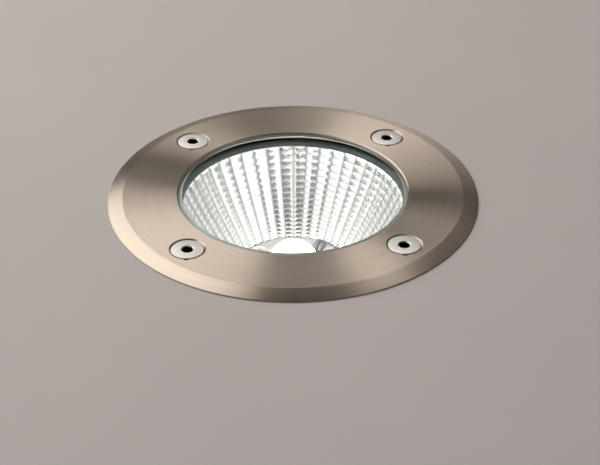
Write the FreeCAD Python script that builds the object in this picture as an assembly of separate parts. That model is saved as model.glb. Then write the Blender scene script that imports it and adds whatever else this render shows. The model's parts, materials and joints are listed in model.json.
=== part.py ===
import FreeCAD, Part
import math
import os

# In-ground well light: a round walk-over light that drops into a plastic ground sleeve.
# Millimetres. Z points up, and z = 0 is the finished paving, which is also the top of the sleeve's
# collar and the underside of the bezel's outer land. The Z axis is the light's own centre line.
# Three groups move apart: the ground sleeve, the lamp unit that lifts out of it,
# and the bezel with its glass, gasket and screws that lifts off the lamp unit.

# ---------------------------------------------------------------- clearances
lift_gap = 0.3               # between groups that lift apart
thread_gap = 0.05            # between a screw's outside and its tapped hole
screw_clearance = 0.25       # between a screw's shank and a plain hole
head_clearance = 0.15        # round a countersunk head
seal_gap = 0.05              # between a seal and the wall that it touches
overshoot = 1.0              # how far a cutting solid runs past the face that it opens

# ---------------------------------------------------------------- bezel, turned from plate and brushed
bezel_radius = 55.0          # the master size: the rings inside it follow from their own widths
bezel_flat_radius = 50.6     # where the flat top turns down into the bevel
bezel_rise = 1.8             # top of the bezel above the paving
bezel_edge_height = 0.4      # upright edge below the bevel
bezel_land_width = 1.7       # outer land that sits on the paving
opening_chamfer = 0.3
screw_edge = 2.1             # between a screw hole and the outside of the flange below
pocket_wall = 1.3            # between a screw hole and the gasket's pocket

# ---------------------------------------------------------------- bezel screws, countersunk, hexagon socket
bezel_screw_count = 4
bezel_screw_turn = 46.8      # degrees from +X to the first screw
bezel_screw_radius = 2.5
bezel_screw_length = 16.0
bezel_head_radius = 5.0
bezel_head_drop = 0.05       # head below the bezel's top
socket_width = 3.0           # across the hexagon's flats
socket_depth = 2.0
drain_notch_width = 1.4      # small notch beside each head, on the -Y side
drain_notch_reach = 0.7
drain_notch_depth = 0.9

# ---------------------------------------------------------------- glass, toughened, with a stepped rim
glass_recess = 0.4           # glass top below the bezel's top
glass_side_gap = 0.45
glass_thickness = 8.0
glass_chamfer = 0.4
glass_seat_width = 1.8       # glass held from below by the gasket
gasket_wall = 1.1
gasket_setback = 0.7         # upper limb back from the opening

# ---------------------------------------------------------------- lamp housing, die-cast
flange_thickness = 9.0
housing_wall = 3.6
web_thickness = 5.0          # floor between the lamp bowl and the wiring room
wiring_room_depth = 45.0
pedestal_gap = 1.5           # pedestal inside the reflector's throat
pedestal_height = 1.0
screw_boss_radius = 4.4
screw_boss_length = 8.0
fin_count = 24
fin_thickness = 2.2
fin_bottom_margin = 5.0
fin_slant = 9.0              # height over which a fin's lower end runs out to full depth
tap_margin = 1.0             # tapped hole past the end of its screw

# ---------------------------------------------------------------- reflector, facetted
facet_columns = 48
facet_rows = 17
facet_row_ratio = 0.945      # each row's height over that of the row above it
mouth_setback = 1.4          # reflector's mouth inside the bezel's opening
throat_radius = 18.5
reflector_depth = 25.1
reflector_wall = 1.0
rim_lap = 1.4                # rim that rests on the housing's seat
rim_side_gap = 0.6
bowl_gap = 0.3
foot_height = 2.0
foot_width = 2.0

# ---------------------------------------------------------------- light source
board_gap = 1.3              # board inside the reflector's throat
board_thickness = 1.6
pad_thickness = 0.4
pad_margin = 0.7
dome_radius = 7.9
dome_base_height = 1.4
board_screw_edge = 4.0       # screw's axis in from the pedestal's edge
small_screw_radius = 1.5
small_head_radius = 2.75
small_head_height = 1.8
board_screw_grip = 3.0       # thread below the board's pad
lead_radius = 0.7
lead_turn = 56.6             # degrees from +X to the lead hole
lead_edge = 1.3              # pedestal left outside the lead hole
lead_hole_radius = 2.2
lead_spacing = 1.8
lead_bend_radius = 1.5
lead_stub = 1.6
grommet_wall = 1.0
grommet_flange = 1.1
grommet_flange_height = 1.0

# ---------------------------------------------------------------- driver
driver_corner_gap = 3.3      # driver's corners in from the wiring room's wall
driver_height = 17.5
driver_wall = 1.6
driver_standoff = 2.0
driver_lid_thickness = 2.0
ear_reach = 8.0
ear_width = 9.0
ear_thickness = 3.0
driver_screw_grip = 2.0
driver_board_thickness = 1.6
driver_board_margin = 0.5
driver_board_post = 1.5
driver_post_radius = 1.6
component_gap = 1.5          # between the tall parts, and from the case's wall to the first of them
transformer_size = (14.0, 13.0, 10.5)
capacitor_radius = 4.0
capacitor_height = 10.0
choke_radius = 5.0
choke_height = 8.0
chip_size = (5.0, 6.0, 1.8)

# ---------------------------------------------------------------- terminal block and its leads
terminal_poles = 3
terminal_pitch = 5.0
terminal_width = 10.0
terminal_height = 12.0
wire_hole_radius = 1.3
wire_hole_height = 7.0       # wire hole's axis below the block's top
clamp_screw_radius = 1.3
clamp_screw_offset = 2.9
clamp_screw_length = 4.0
clamp_slot_width = 0.5
clamp_slot_depth = 0.6
fixing_screw_radius = 1.0
fixing_head_radius = 1.5
fixing_head_height = 1.0
driver_lead_edge = 3.0       # lead hole in the lid, in from the lid's edge
driver_lead_bend = 3.0
driver_lead_insert = 2.0

# ---------------------------------------------------------------- earth point
earth_wall_gap = 1.7         # between the washer and the wiring room's wall
earth_driver_gap = 0.3       # between the washer and the driver's side
earth_screw_radius = 2.0
earth_screw_grip = 4.0
earth_head_radius = 3.5
earth_head_height = 2.4
earth_washer_radius = 4.5
earth_washer_thickness = 1.0

# ---------------------------------------------------------------- base cover
cover_thickness = 3.0
spigot_height = 4.0
spigot_gap = 0.1
seal_section = 2.0           # width of the square seal
seal_groove_height = 2.4
base_screw_count = 4
base_screw_turn = 45.0
base_screw_margin = 0.5      # cover left between a screw hole and the seal's groove
base_screw_radius = 2.0
base_screw_grip = 8.0        # thread above the spigot
base_head_radius = 3.5
base_head_height = 2.4
base_boss_height = 12.0
drive_width = 2.5            # hexagon drive across its flats
drive_depth = 1.3

# ---------------------------------------------------------------- cable gland
gland_thread_radius = 7.95
gland_bore_radius = 5.0
gland_hex_width = 20.0
gland_hex_height = 5.0
gland_washer_thickness = 0.8
gland_washer_radius = 10.0
gland_tail_radius = 8.5
gland_tail_length = 8.0
gland_seal_radius = 6.9
gland_seal_length = 9.0
gland_tail_wall = 1.55
cable_radius = 4.0
locknut_width = 19.0
locknut_height = 3.0
nut_width = 21.0
nut_wall = 1.4
nut_floor = 2.0
nut_hole_radius = 5.2
nut_dome_height = 4.0
nut_tip_radius = 8.0

# ---------------------------------------------------------------- ground sleeve
sleeve_side_gap = 1.0        # round the housing flange
sleeve_wall = 2.4
sleeve_depth = 130.0
rib_reach = 0.8              # how far the ribs and the foot stand out from the tube
collar_reach = 0.8           # how far the collar stands out from the ribs
sleeve_collar_height = 8.0   # collar above the top of the tube
collar_lap = 6.0             # collar's skirt down over the tube
rib_height = 2.4
rib_count = 3
rib_spacing = 29.0
upright_rib_count = 8
upright_rib_width = 3.0
foot_ring_height = 6.0
base_ring_thickness = 3.0
base_opening_radius = 32.0
lug_count = 4
lug_width = 14.0
lug_reach = 3.2              # how far a lug stands in from the sleeve's bore
lug_thickness = 3.0
lug_gusset = 4.2
entry_radius = 10.5
entry_height = 22.0          # entry's axis above the sleeve's base

# ---------------------------------------------------------------- heights that follow from the sizes above
glass_top = bezel_rise - glass_recess
glass_bottom = glass_top - glass_thickness
plate_bottom = lift_gap
glass_step = plate_bottom - gasket_wall
gasket_bottom = glass_bottom - gasket_wall
gasket_seat = gasket_bottom - lift_gap
flange_top = plate_bottom - lift_gap
flange_bottom = flange_top - flange_thickness
tube_top = -sleeve_collar_height
reflector_top = glass_bottom - lift_gap
reflector_low = reflector_top - reflector_depth
web_top = reflector_low - foot_height
web_bottom = web_top - web_thickness
pedestal_top = web_top + pedestal_height
pad_top = pedestal_top + pad_thickness
board_top = pad_top + board_thickness
driver_top = web_bottom - driver_standoff
driver_bottom = driver_top - driver_height
lid_bottom = driver_bottom - driver_lid_thickness
driver_board_low = driver_bottom + driver_board_post
driver_board_top = driver_board_low + driver_board_thickness
terminal_bottom = lid_bottom - terminal_height
housing_bottom = web_bottom - wiring_room_depth
spigot_top = housing_bottom + spigot_height
cover_bottom = housing_bottom - cover_thickness
hex_top = cover_bottom - gland_washer_thickness
hex_bottom = hex_top - gland_hex_height
tail_bottom = hex_bottom - gland_tail_length
seal_top = hex_bottom - overshoot
seal_bottom = seal_top - gland_seal_length
nut_bottom = seal_bottom - nut_floor
entry_level = -sleeve_depth + entry_height

# ---------------------------------------------------------------- widths that follow from the sizes above
land_radius = bezel_radius - bezel_land_width
sleeve_collar_radius = land_radius - lift_gap
rib_radius = sleeve_collar_radius - collar_reach
sleeve_radius = rib_radius - rib_reach
sleeve_bore = sleeve_radius - sleeve_wall
flange_radius = sleeve_bore - sleeve_side_gap
bezel_hole_radius = bezel_screw_radius + screw_clearance
bezel_screw_circle = flange_radius - screw_edge - bezel_hole_radius
gasket_radius = bezel_screw_circle - bezel_hole_radius - pocket_wall
glass_flange_radius = gasket_radius - gasket_wall
gasket_low_inner = glass_flange_radius - glass_seat_width
rim_radius = gasket_low_inner - rim_side_gap
bowl_radius = rim_radius - rim_lap
mouth_radius = bowl_radius - bowl_gap - reflector_wall
opening_radius = mouth_radius + mouth_setback
gasket_top_inner = opening_radius + gasket_setback
glass_step_radius = opening_radius - glass_side_gap
recess_radius = gasket_radius + lift_gap
housing_radius = bowl_radius + housing_wall
lug_inner = sleeve_bore - lug_reach
fin_radius = lug_inner - lift_gap
pedestal_radius = throat_radius - pedestal_gap
board_radius = throat_radius - board_gap
board_screw_circle = pedestal_radius - board_screw_edge
lead_circle = pedestal_radius - lead_edge - lead_hole_radius
driver_width = 2 * (lead_circle * math.sin(math.radians(lead_turn)) + lead_hole_radius + driver_wall)
driver_length = 2 * math.sqrt((bowl_radius - driver_corner_gap) ** 2 - (driver_width / 2) ** 2)
driver_lead_offset = driver_width / 2 - driver_lead_edge
earth_circle = bowl_radius - earth_washer_radius - earth_wall_gap
earth_y = driver_width / 2 + earth_driver_gap + earth_washer_radius
earth_x = -math.sqrt(earth_circle ** 2 - earth_y ** 2)
spigot_radius = bowl_radius - spigot_gap
groove_radius = bowl_radius - seal_section
base_screw_circle = groove_radius - base_screw_margin - base_screw_radius - screw_clearance
base_boss_radius = bowl_radius + housing_wall / 4 - base_screw_circle
foot_radius = throat_radius + foot_width
grommet_radius = lead_hole_radius + grommet_wall

FULL_TURN = 360.0
HALF_TURN = 180.0
HEX_SIDES = 6
CENTRE = FreeCAD.Vector(0, 0, 0)
UP = FreeCAD.Vector(0, 0, 1)


# ---------------------------------------------------------------- helpers
def turned(outline):
    """A solid turned about Z from a closed outline of (radius, height) points."""
    points = [FreeCAD.Vector(radius, 0, height) for radius, height in outline]
    face = Part.Face(Part.makePolygon(points + points[:1]))
    return face.revolve(CENTRE, UP, FULL_TURN)


def ring(inner, outer, low, high):
    """A plain ring about Z."""
    return turned([(inner, low), (outer, low), (outer, high), (inner, high)])


def rod(radius, low, high, x=0.0, y=0.0):
    """An upright cylinder."""
    return Part.makeCylinder(radius, high - low, FreeCAD.Vector(x, y, low))


def cone(low_radius, high_radius, low, high, x=0.0, y=0.0):
    """An upright cone or taper."""
    return Part.makeCone(low_radius, high_radius, high - low, FreeCAD.Vector(x, y, low))


def hexagon(across_flats, low, high, x=0.0, y=0.0):
    """An upright hexagonal prism."""
    reach = across_flats / 2 / math.cos(math.pi / HEX_SIDES)
    points = []
    for side in range(HEX_SIDES + 1):
        angle = 2 * math.pi * side / HEX_SIDES
        points.append(FreeCAD.Vector(x + reach * math.cos(angle), y + reach * math.sin(angle), low))
    return Part.Face(Part.makePolygon(points)).extrude(UP * (high - low))


def block(low_corner, high_corner):
    """A box between two corners."""
    size = [high - low for low, high in zip(low_corner, high_corner)]
    return Part.makeBox(*size, FreeCAD.Vector(*low_corner))


def centred_block(x, y, length, width, low, high):
    """A box centred on (x, y)."""
    return block((x - length / 2, y - width / 2, low), (x + length / 2, y + width / 2, high))


def on_circle(radius, degrees):
    """The (x, y) place at a radius and an angle from +X."""
    angle = math.radians(degrees)
    return radius * math.cos(angle), radius * math.sin(angle)


def circle_places(count, radius, start):
    """Evenly spaced (x, y) places on a circle."""
    return [on_circle(radius, start + FULL_TURN * step / count) for step in range(count)]


def turn_about_z(shape, degrees):
    """A copy of a shape, turned about the centre line."""
    copy = shape.copy()
    copy.rotate(CENTRE, UP, degrees)
    return copy


def fused(shapes):
    """Several overlapping shapes as one solid."""
    return shapes[0].multiFuse(shapes[1:]).removeSplitter()


def tube_along(points, bend, radius):
    """A round lead along straight runs that are joined by tangent arcs of one radius."""
    places = [FreeCAD.Vector(*point) for point in points]
    edges = []
    start = places[0]
    for index in range(1, len(places) - 1):
        corner = places[index]
        back = (places[index - 1] - corner).normalize()
        ahead = (places[index + 1] - corner).normalize()
        half_angle = back.getAngle(ahead) / 2
        setback = bend / math.tan(half_angle)
        arc_start = corner + back * setback
        arc_end = corner + ahead * setback
        middle_way = (back + ahead).normalize()
        arc_middle = corner + middle_way * (bend / math.sin(half_angle) - bend)
        edges.append(Part.LineSegment(start, arc_start).toShape())
        edges.append(Part.Arc(arc_start, arc_middle, arc_end).toShape())
        start = arc_end
    edges.append(Part.LineSegment(start, places[-1]).toShape())
    heading = (places[1] - places[0]).normalize()
    section = Part.Wire(Part.makeCircle(radius, places[0], heading))
    return Part.Wire(edges).makePipeShell([section], True, False)


def cap_screw(x, y, seat, sign, shank_radius, shank_length, head_radius, head_height):
    """A screw with a round head and a hexagon drive. Its head lies on the far side of its seat:
    sign is +1 where the head is above the seat and -1 where it is below."""
    head_end = seat + sign * head_height
    shank_end = seat - sign * shank_length
    drive_floor = head_end - sign * drive_depth
    drive_mouth = head_end + sign * overshoot
    head = rod(head_radius, min(seat, head_end), max(seat, head_end), x, y)
    shank = rod(shank_radius, min(seat, shank_end), max(seat, shank_end), x, y)
    drive = hexagon(drive_width, min(drive_floor, drive_mouth), max(drive_floor, drive_mouth), x, y)
    return fused([head, shank]).cut(drive)


# ---------------------------------------------------------------- bezel group
def bezel_screw_places():
    return circle_places(bezel_screw_count, bezel_screw_circle, bezel_screw_turn)


def make_bezel_ring():
    """The ring that shows: a plate with a flat top, a bevelled edge and an outer land below."""
    body = turned([
        (opening_radius, plate_bottom),
        (land_radius, plate_bottom),
        (land_radius, 0.0),
        (bezel_radius, 0.0),
        (bezel_radius, bezel_edge_height),
        (bezel_flat_radius, bezel_rise),
        (opening_radius + opening_chamfer, bezel_rise),
        (opening_radius, bezel_rise - opening_chamfer),
    ])
    mouth = bezel_head_radius + head_clearance
    hole = bezel_hole_radius
    cone_depth = mouth - hole
    cutters = []
    for x, y in bezel_screw_places():
        cutters.append(cone(hole, mouth, bezel_rise - cone_depth, bezel_rise, x, y))
        cutters.append(centred_block(
            x, y - mouth, drain_notch_width, 2 * drain_notch_reach,
            bezel_rise - drain_notch_depth, bezel_rise + overshoot,
        ))
    return body.cut(cutters)


def make_bezel_screws():
    """Countersunk screws that clamp the bezel, the gasket and the glass to the housing."""
    head_top = bezel_rise - bezel_head_drop
    cone_depth = bezel_head_radius - bezel_screw_radius
    screws = []
    for x, y in bezel_screw_places():
        head = cone(bezel_screw_radius, bezel_head_radius, head_top - cone_depth, head_top, x, y)
        shank = rod(bezel_screw_radius, head_top - bezel_screw_length, head_top - cone_depth, x, y)
        socket = hexagon(socket_width, head_top - socket_depth, head_top + overshoot, x, y)
        screws.append(fused([head, shank]).cut(socket))
    return screws


def make_glass_lens():
    """Thick toughened glass: the step fills the opening and the flange is clamped below it."""
    return turned([
        (0.0, glass_bottom),
        (glass_flange_radius - glass_chamfer, glass_bottom),
        (glass_flange_radius, glass_bottom + glass_chamfer),
        (glass_flange_radius, glass_step),
        (glass_step_radius, glass_step),
        (glass_step_radius, glass_top - glass_chamfer),
        (glass_step_radius - glass_chamfer, glass_top),
        (0.0, glass_top),
    ])


def make_glass_gasket():
    """A U-section silicone ring that wraps the glass flange."""
    return turned([
        (gasket_top_inner, glass_step),
        (glass_flange_radius, glass_step),
        (glass_flange_radius, glass_bottom),
        (gasket_low_inner, glass_bottom),
        (gasket_low_inner, gasket_bottom),
        (gasket_radius, gasket_bottom),
        (gasket_radius, plate_bottom),
        (gasket_top_inner, plate_bottom),
    ])


# ---------------------------------------------------------------- lamp unit
def board_screw_places():
    quarter = HALF_TURN / 2
    return [on_circle(board_screw_circle, lead_turn + side * quarter) for side in (-1, 1)]


def driver_screw_places():
    offset = driver_width / 2 + ear_reach / 2
    return [(0.0, -offset), (0.0, offset)]


def base_screw_places():
    return circle_places(base_screw_count, base_screw_circle, base_screw_turn)


def housing_fins():
    """Upright cooling fins round the housing, joined to the underside of its flange."""
    root = housing_radius - housing_wall / 2
    low = housing_bottom + fin_bottom_margin
    high = flange_bottom + overshoot
    side_view = [
        (root, low), (housing_radius, low), (fin_radius, low + fin_slant), (fin_radius, high), (root, high),
    ]
    corners = [FreeCAD.Vector(radius, -fin_thickness / 2, height) for radius, height in side_view]
    face = Part.Face(Part.makePolygon(corners + corners[:1]))
    fin = face.extrude(FreeCAD.Vector(0, fin_thickness, 0))
    return [
        turn_about_z(fin, bezel_screw_turn + FULL_TURN * step / fin_count)
        for step in range(fin_count)
    ]


def housing_holes():
    """Every tapped or plain hole in the housing."""
    holes = []
    bezel_tap = bezel_screw_radius + lift_gap
    head_top = bezel_rise - bezel_head_drop
    sink_mouth = bezel_head_radius - (head_top - flange_top) + lift_gap * math.sqrt(2)
    sink_bottom = flange_top - (sink_mouth - bezel_tap)
    for x, y in bezel_screw_places():
        tap_end = head_top - bezel_screw_length - tap_margin
        holes.append(rod(bezel_tap, tap_end, flange_top + overshoot, x, y))
        holes.append(cone(bezel_tap, sink_mouth, sink_bottom, flange_top, x, y))
    small_tap = small_screw_radius + thread_gap
    for x, y in board_screw_places():
        tap_end = pedestal_top - board_screw_grip - tap_margin / 2
        holes.append(rod(small_tap, tap_end, pedestal_top + overshoot, x, y))
    for x, y in driver_screw_places():
        tap_end = web_bottom + driver_screw_grip + tap_margin / 2
        holes.append(rod(small_tap, driver_top - overshoot, tap_end, x, y))
    for x, y in base_screw_places():
        tap_end = spigot_top + base_screw_grip + tap_margin
        holes.append(rod(base_screw_radius + thread_gap, spigot_top - overshoot, tap_end, x, y))
    x, y = on_circle(lead_circle, lead_turn)
    holes.append(rod(grommet_radius, web_bottom - overshoot, pedestal_top + overshoot, x, y))
    earth_tap = earth_screw_radius + thread_gap
    holes.append(rod(earth_tap, web_bottom - overshoot, web_bottom + earth_screw_grip, earth_x, earth_y))
    return holes


def make_lamp_housing():
    """A die-cast cup: flange on top, lamp bowl, web, wiring room below, and cooling fins outside."""
    shell = turned([
        (0.0, web_bottom),
        (bowl_radius, web_bottom),
        (bowl_radius, housing_bottom),
        (housing_radius, housing_bottom),
        (housing_radius, flange_bottom),
        (flange_radius, flange_bottom),
        (flange_radius, flange_top),
        (recess_radius, flange_top),
        (recess_radius, gasket_seat),
        (bowl_radius, gasket_seat),
        (bowl_radius, web_top),
        (pedestal_radius, web_top),
        (pedestal_radius, pedestal_top),
        (0.0, pedestal_top),
    ])
    pieces = [shell] + housing_fins()
    boss_low = flange_bottom - screw_boss_length
    for x, y in bezel_screw_places():
        pieces.append(rod(screw_boss_radius, boss_low, flange_bottom + overshoot, x, y))
    for x, y in driver_screw_places():
        pieces.append(rod(ear_width / 2, driver_top, web_bottom + overshoot, x, y))
    for x, y in base_screw_places():
        pieces.append(rod(base_boss_radius, spigot_top, spigot_top + base_boss_height, x, y))
    return fused(pieces).cut(housing_holes())


def reflector_radius_at(height):
    """The reflecting wall follows a paraboloid from its throat to its mouth."""
    share = (height - reflector_low) / reflector_depth
    return math.sqrt(throat_radius ** 2 + (mouth_radius ** 2 - throat_radius ** 2) * share)


def facet_levels():
    """Heights of the facet rows, from the mouth down, each row lower than the one above it."""
    total = sum(facet_row_ratio ** row for row in range(facet_rows))
    levels = [reflector_top]
    for row in range(facet_rows):
        levels.append(levels[-1] - reflector_depth * facet_row_ratio ** row / total)
    return levels


def facet_ring(radius, height):
    """Corner points of one ring of facets."""
    return [
        FreeCAD.Vector(*on_circle(radius, FULL_TURN * column / facet_columns), height)
        for column in range(facet_columns)
    ]


def reflector_cavity():
    """A closed facetted solid that fills the reflector: flat facets between rings of corners."""
    levels = facet_levels()
    rings = [facet_ring(mouth_radius, reflector_top + overshoot)]
    rings += [facet_ring(reflector_radius_at(level), level) for level in levels]
    rings.append(facet_ring(throat_radius, web_top - overshoot))
    faces = [Part.Face(Part.makePolygon(ends + ends[:1])) for ends in (rings[0], rings[-1])]
    for upper, lower in zip(rings, rings[1:]):
        for column in range(facet_columns):
            beside = (column + 1) % facet_columns
            corners = [upper[column], upper[beside], lower[beside], lower[column]]
            faces.append(Part.Face(Part.makePolygon(corners + corners[:1])))
    return Part.makeSolid(Part.makeShell(faces))


def make_reflector():
    """The facetted reflector: a thin bowl with a rim on the housing's seat and a foot on its web."""
    outer_mouth = mouth_radius + reflector_wall
    outer_throat = throat_radius + reflector_wall
    middle = reflector_low + reflector_depth / 2
    outer_middle = reflector_radius_at(middle) + reflector_wall
    places = {
        "axis_low": (0.0, web_top),
        "foot_out": (foot_radius, web_top),
        "foot_top": (foot_radius, reflector_low),
        "throat": (outer_throat + reflector_wall / 2, reflector_low + reflector_wall),
        "middle": (outer_middle, middle),
        "mouth": (outer_mouth, gasket_seat),
        "rim_low": (rim_radius, gasket_seat),
        "rim_top": (rim_radius, reflector_top),
        "axis_top": (0.0, reflector_top),
    }
    corner = {name: FreeCAD.Vector(radius, 0, height) for name, (radius, height) in places.items()}
    order = ["mouth", "rim_low", "rim_top", "axis_top", "axis_low", "foot_out", "foot_top", "throat"]
    edges = [
        Part.LineSegment(corner[first], corner[second]).toShape()
        for first, second in zip(order, order[1:])
    ]
    edges.append(Part.Arc(corner["throat"], corner["middle"], corner["mouth"]).toShape())
    outside = Part.Face(Part.Wire(edges)).revolve(CENTRE, UP, FULL_TURN)
    return outside.cut(reflector_cavity())


def make_led_dome():
    """The light source's silicone dome on the board."""
    straight = board_top + dome_base_height
    ball = Part.makeSphere(dome_radius, FreeCAD.Vector(0, 0, straight))
    cap = ball.common(rod(dome_radius + overshoot, straight, straight + dome_radius + overshoot))
    return fused([rod(dome_radius, board_top, straight), cap])


def board_holes(low, high):
    """Screw holes and the lead hole through the board or its pad."""
    hole = small_screw_radius + screw_clearance
    holes = [rod(hole, low, high, x, y) for x, y in board_screw_places()]
    holes.append(rod(lead_hole_radius, low, high, *on_circle(lead_circle, lead_turn)))
    return holes


def make_led_board():
    """A round metal-core board that carries the light source."""
    board = rod(board_radius, pad_top, board_top)
    return board.cut(board_holes(pad_top - overshoot, board_top + overshoot))


def make_thermal_pad():
    """A soft heat-conducting pad between the board and the pedestal."""
    pad = rod(pedestal_radius - pad_margin, pedestal_top, pad_top)
    return pad.cut(board_holes(pedestal_top - overshoot, pad_top + overshoot))


def make_led_board_screws():
    """Two screws that press the board on its pad."""
    length = board_thickness + pad_thickness + board_screw_grip
    return [
        cap_screw(x, y, board_top, 1, small_screw_radius, length, small_head_radius, small_head_height)
        for x, y in board_screw_places()
    ]


def make_lead_grommet():
    """A rubber bush that lines the lead hole in the web."""
    x, y = on_circle(lead_circle, lead_turn)
    low = web_bottom - grommet_flange_height
    bush = rod(grommet_radius - seal_gap, web_bottom, pedestal_top, x, y)
    flange = rod(grommet_radius + grommet_flange, low, web_bottom, x, y)
    bore = rod(lead_hole_radius, low - overshoot, pedestal_top + overshoot, x, y)
    return fused([bush, flange]).cut(bore)


def make_led_leads():
    """Two leads from the board, through the grommet, down into the driver."""
    along = on_circle(1.0, lead_turn)
    across = (-along[1], along[0])
    x, y = on_circle(lead_circle, lead_turn)
    level = board_top + lead_radius
    reach = lead_bend_radius + lead_stub
    leads = []
    for side in (-1, 1):
        start_x = x + side * across[0] * lead_spacing / 2
        start_y = y + side * across[1] * lead_spacing / 2
        leads.append(tube_along(
            [
                (start_x, start_y, driver_board_top),
                (start_x, start_y, level),
                (start_x + along[0] * reach, start_y + along[1] * reach, level),
            ],
            lead_bend_radius,
            lead_radius,
        ))
    return leads


# ---------------------------------------------------------------- driver
def make_driver_case():
    """A plastic box, open below, with two ears that are screwed up to the web."""
    box = centred_block(0, 0, driver_length, driver_width, driver_bottom, driver_top)
    hollow = centred_block(
        0, 0, driver_length - 2 * driver_wall, driver_width - 2 * driver_wall,
        driver_bottom - overshoot, driver_top - driver_wall,
    )
    across_ears = driver_width + 2 * ear_reach
    ears = centred_block(0, 0, ear_width, across_ears, driver_top - ear_thickness, driver_top)
    hole = small_screw_radius + screw_clearance
    cutters = [hollow]
    for x, y in driver_screw_places():
        cutters.append(rod(hole, driver_top - ear_thickness - overshoot, driver_top + overshoot, x, y))
    x, y = on_circle(lead_circle, lead_turn)
    cutters.append(rod(lead_hole_radius, driver_top - driver_wall - overshoot, driver_top + overshoot, x, y))
    return fused([box, ears]).cut(cutters)


def make_driver_screws():
    """Screws through the ears into the web."""
    length = ear_thickness + driver_standoff + driver_screw_grip
    seat = driver_top - ear_thickness
    return [
        cap_screw(x, y, seat, -1, small_screw_radius, length, small_head_radius, small_head_height)
        for x, y in driver_screw_places()
    ]


def driver_lead_places():
    return [(side * terminal_pitch, driver_lead_offset) for side in (-1, 1)]


def fixing_screw_places():
    return [(side * terminal_pitch / 2, 0.0) for side in (-1, 1)]


def make_driver_lid():
    """The driver's lower lid, with posts for its board. The terminal block hangs from it."""
    lid = centred_block(0, 0, driver_length, driver_width, lid_bottom, driver_bottom)
    inset = driver_wall + driver_board_margin + 2 * driver_post_radius
    reach_x = driver_length / 2 - inset
    reach_y = driver_width / 2 - inset
    post_low = driver_bottom - driver_lid_thickness / 2
    posts = [
        rod(driver_post_radius, post_low, driver_board_low, side_x * reach_x, side_y * reach_y)
        for side_x in (-1, 1)
        for side_y in (-1, 1)
    ]
    cut_low = lid_bottom - overshoot
    cut_high = driver_bottom + overshoot
    lead_hole = lead_radius + seal_gap
    screw_hole = fixing_screw_radius + thread_gap
    cutters = [rod(lead_hole, cut_low, cut_high, x, y) for x, y in driver_lead_places()]
    cutters += [rod(screw_hole, cut_low, cut_high, x, y) for x, y in fixing_screw_places()]
    return fused([lid] + posts).cut(cutters)


def make_driver_board():
    """The driver's circuit board."""
    inset = 2 * (driver_wall + driver_board_margin)
    return centred_block(
        0, 0, driver_length - inset, driver_width - inset, driver_board_low, driver_board_top
    )


def component_columns():
    """X of the three columns of tall parts, in order from the case's -X wall."""
    edge = driver_wall - driver_length / 2
    columns = []
    for half_width in (capacitor_radius, transformer_size[0] / 2, choke_radius):
        columns.append(edge + component_gap + half_width)
        edge = columns[-1] + half_width
    return columns


def make_driver_components():
    """The tall parts on the driver's board: capacitors, transformer and choke, with a chip beside
    each of the last two."""
    floor = driver_board_top
    first_edge = driver_wall + component_gap - driver_width / 2
    capacitor_x, transformer_x, choke_x = component_columns()
    length, width, height = transformer_size
    transformer_y = first_edge + width / 2
    choke_y = first_edge + choke_radius
    shapes = [centred_block(transformer_x, transformer_y, length, width, floor, floor + height)]
    for side in (-1, 1):
        y = side * (capacitor_radius + component_gap / 2)
        shapes.append(rod(capacitor_radius, floor, floor + capacitor_height, capacitor_x, y))
    shapes.append(rod(choke_radius, floor, floor + choke_height, choke_x, choke_y))
    chip_length, chip_width, chip_height = chip_size
    beside = component_gap + chip_width / 2
    for x, y in ((transformer_x, transformer_y + width / 2), (choke_x, choke_y + choke_radius)):
        shapes.append(centred_block(x, y + beside, chip_length, chip_width, floor, floor + chip_height))
    return shapes


# ---------------------------------------------------------------- terminals and earth
def terminal_places():
    middle = (terminal_poles - 1) / 2
    return [(pole - middle) * terminal_pitch for pole in range(terminal_poles)]


def make_terminal_block():
    """A strip of screw terminals for the supply."""
    body = centred_block(0, 0, terminal_poles * terminal_pitch, terminal_width, terminal_bottom, lid_bottom)
    cutters = []
    level = lid_bottom - wire_hole_height
    for x in terminal_places():
        start = FreeCAD.Vector(x, -terminal_width / 2 - overshoot, level)
        length = terminal_width + 2 * overshoot
        cutters.append(Part.makeCylinder(wire_hole_radius, length, start, FreeCAD.Vector(0, 1, 0)))
        for side in (-1, 1):
            y = side * clamp_screw_offset
            cutters.append(rod(clamp_screw_radius + thread_gap, terminal_bottom - overshoot, level, x, y))
    for x, y in fixing_screw_places():
        hole = fixing_screw_radius + screw_clearance / 2
        cutters.append(rod(hole, terminal_bottom - overshoot, lid_bottom + overshoot, x, y))
    return body.cut(cutters)


def make_terminal_clamp_screws():
    """Slotted screws that clamp the wires, two to a pole."""
    screws = []
    for x in terminal_places():
        for side in (-1, 1):
            y = side * clamp_screw_offset
            body = rod(clamp_screw_radius, terminal_bottom, terminal_bottom + clamp_screw_length, x, y)
            slot = centred_block(
                x, y, 2 * clamp_screw_radius + overshoot, clamp_slot_width,
                terminal_bottom - overshoot, terminal_bottom + clamp_slot_depth,
            )
            screws.append(body.cut(slot))
    return screws


def make_terminal_fixing_screws():
    """Two screws that hold the terminal block to the driver's lid."""
    screws = []
    for x, y in fixing_screw_places():
        head = rod(fixing_head_radius, terminal_bottom - fixing_head_height, terminal_bottom, x, y)
        shank = rod(fixing_screw_radius, terminal_bottom, driver_bottom, x, y)
        screws.append(fused([head, shank]))
    return screws


def make_driver_leads():
    """Two leads that turn from the driver's lid into the terminal block."""
    level = lid_bottom - wire_hole_height
    leads = []
    for x, y in driver_lead_places():
        leads.append(tube_along(
            [
                (x, y, driver_board_low),
                (x, y, level),
                (x, terminal_width / 2 - driver_lead_insert, level),
            ],
            driver_lead_bend,
            lead_radius,
        ))
    return leads


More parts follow.
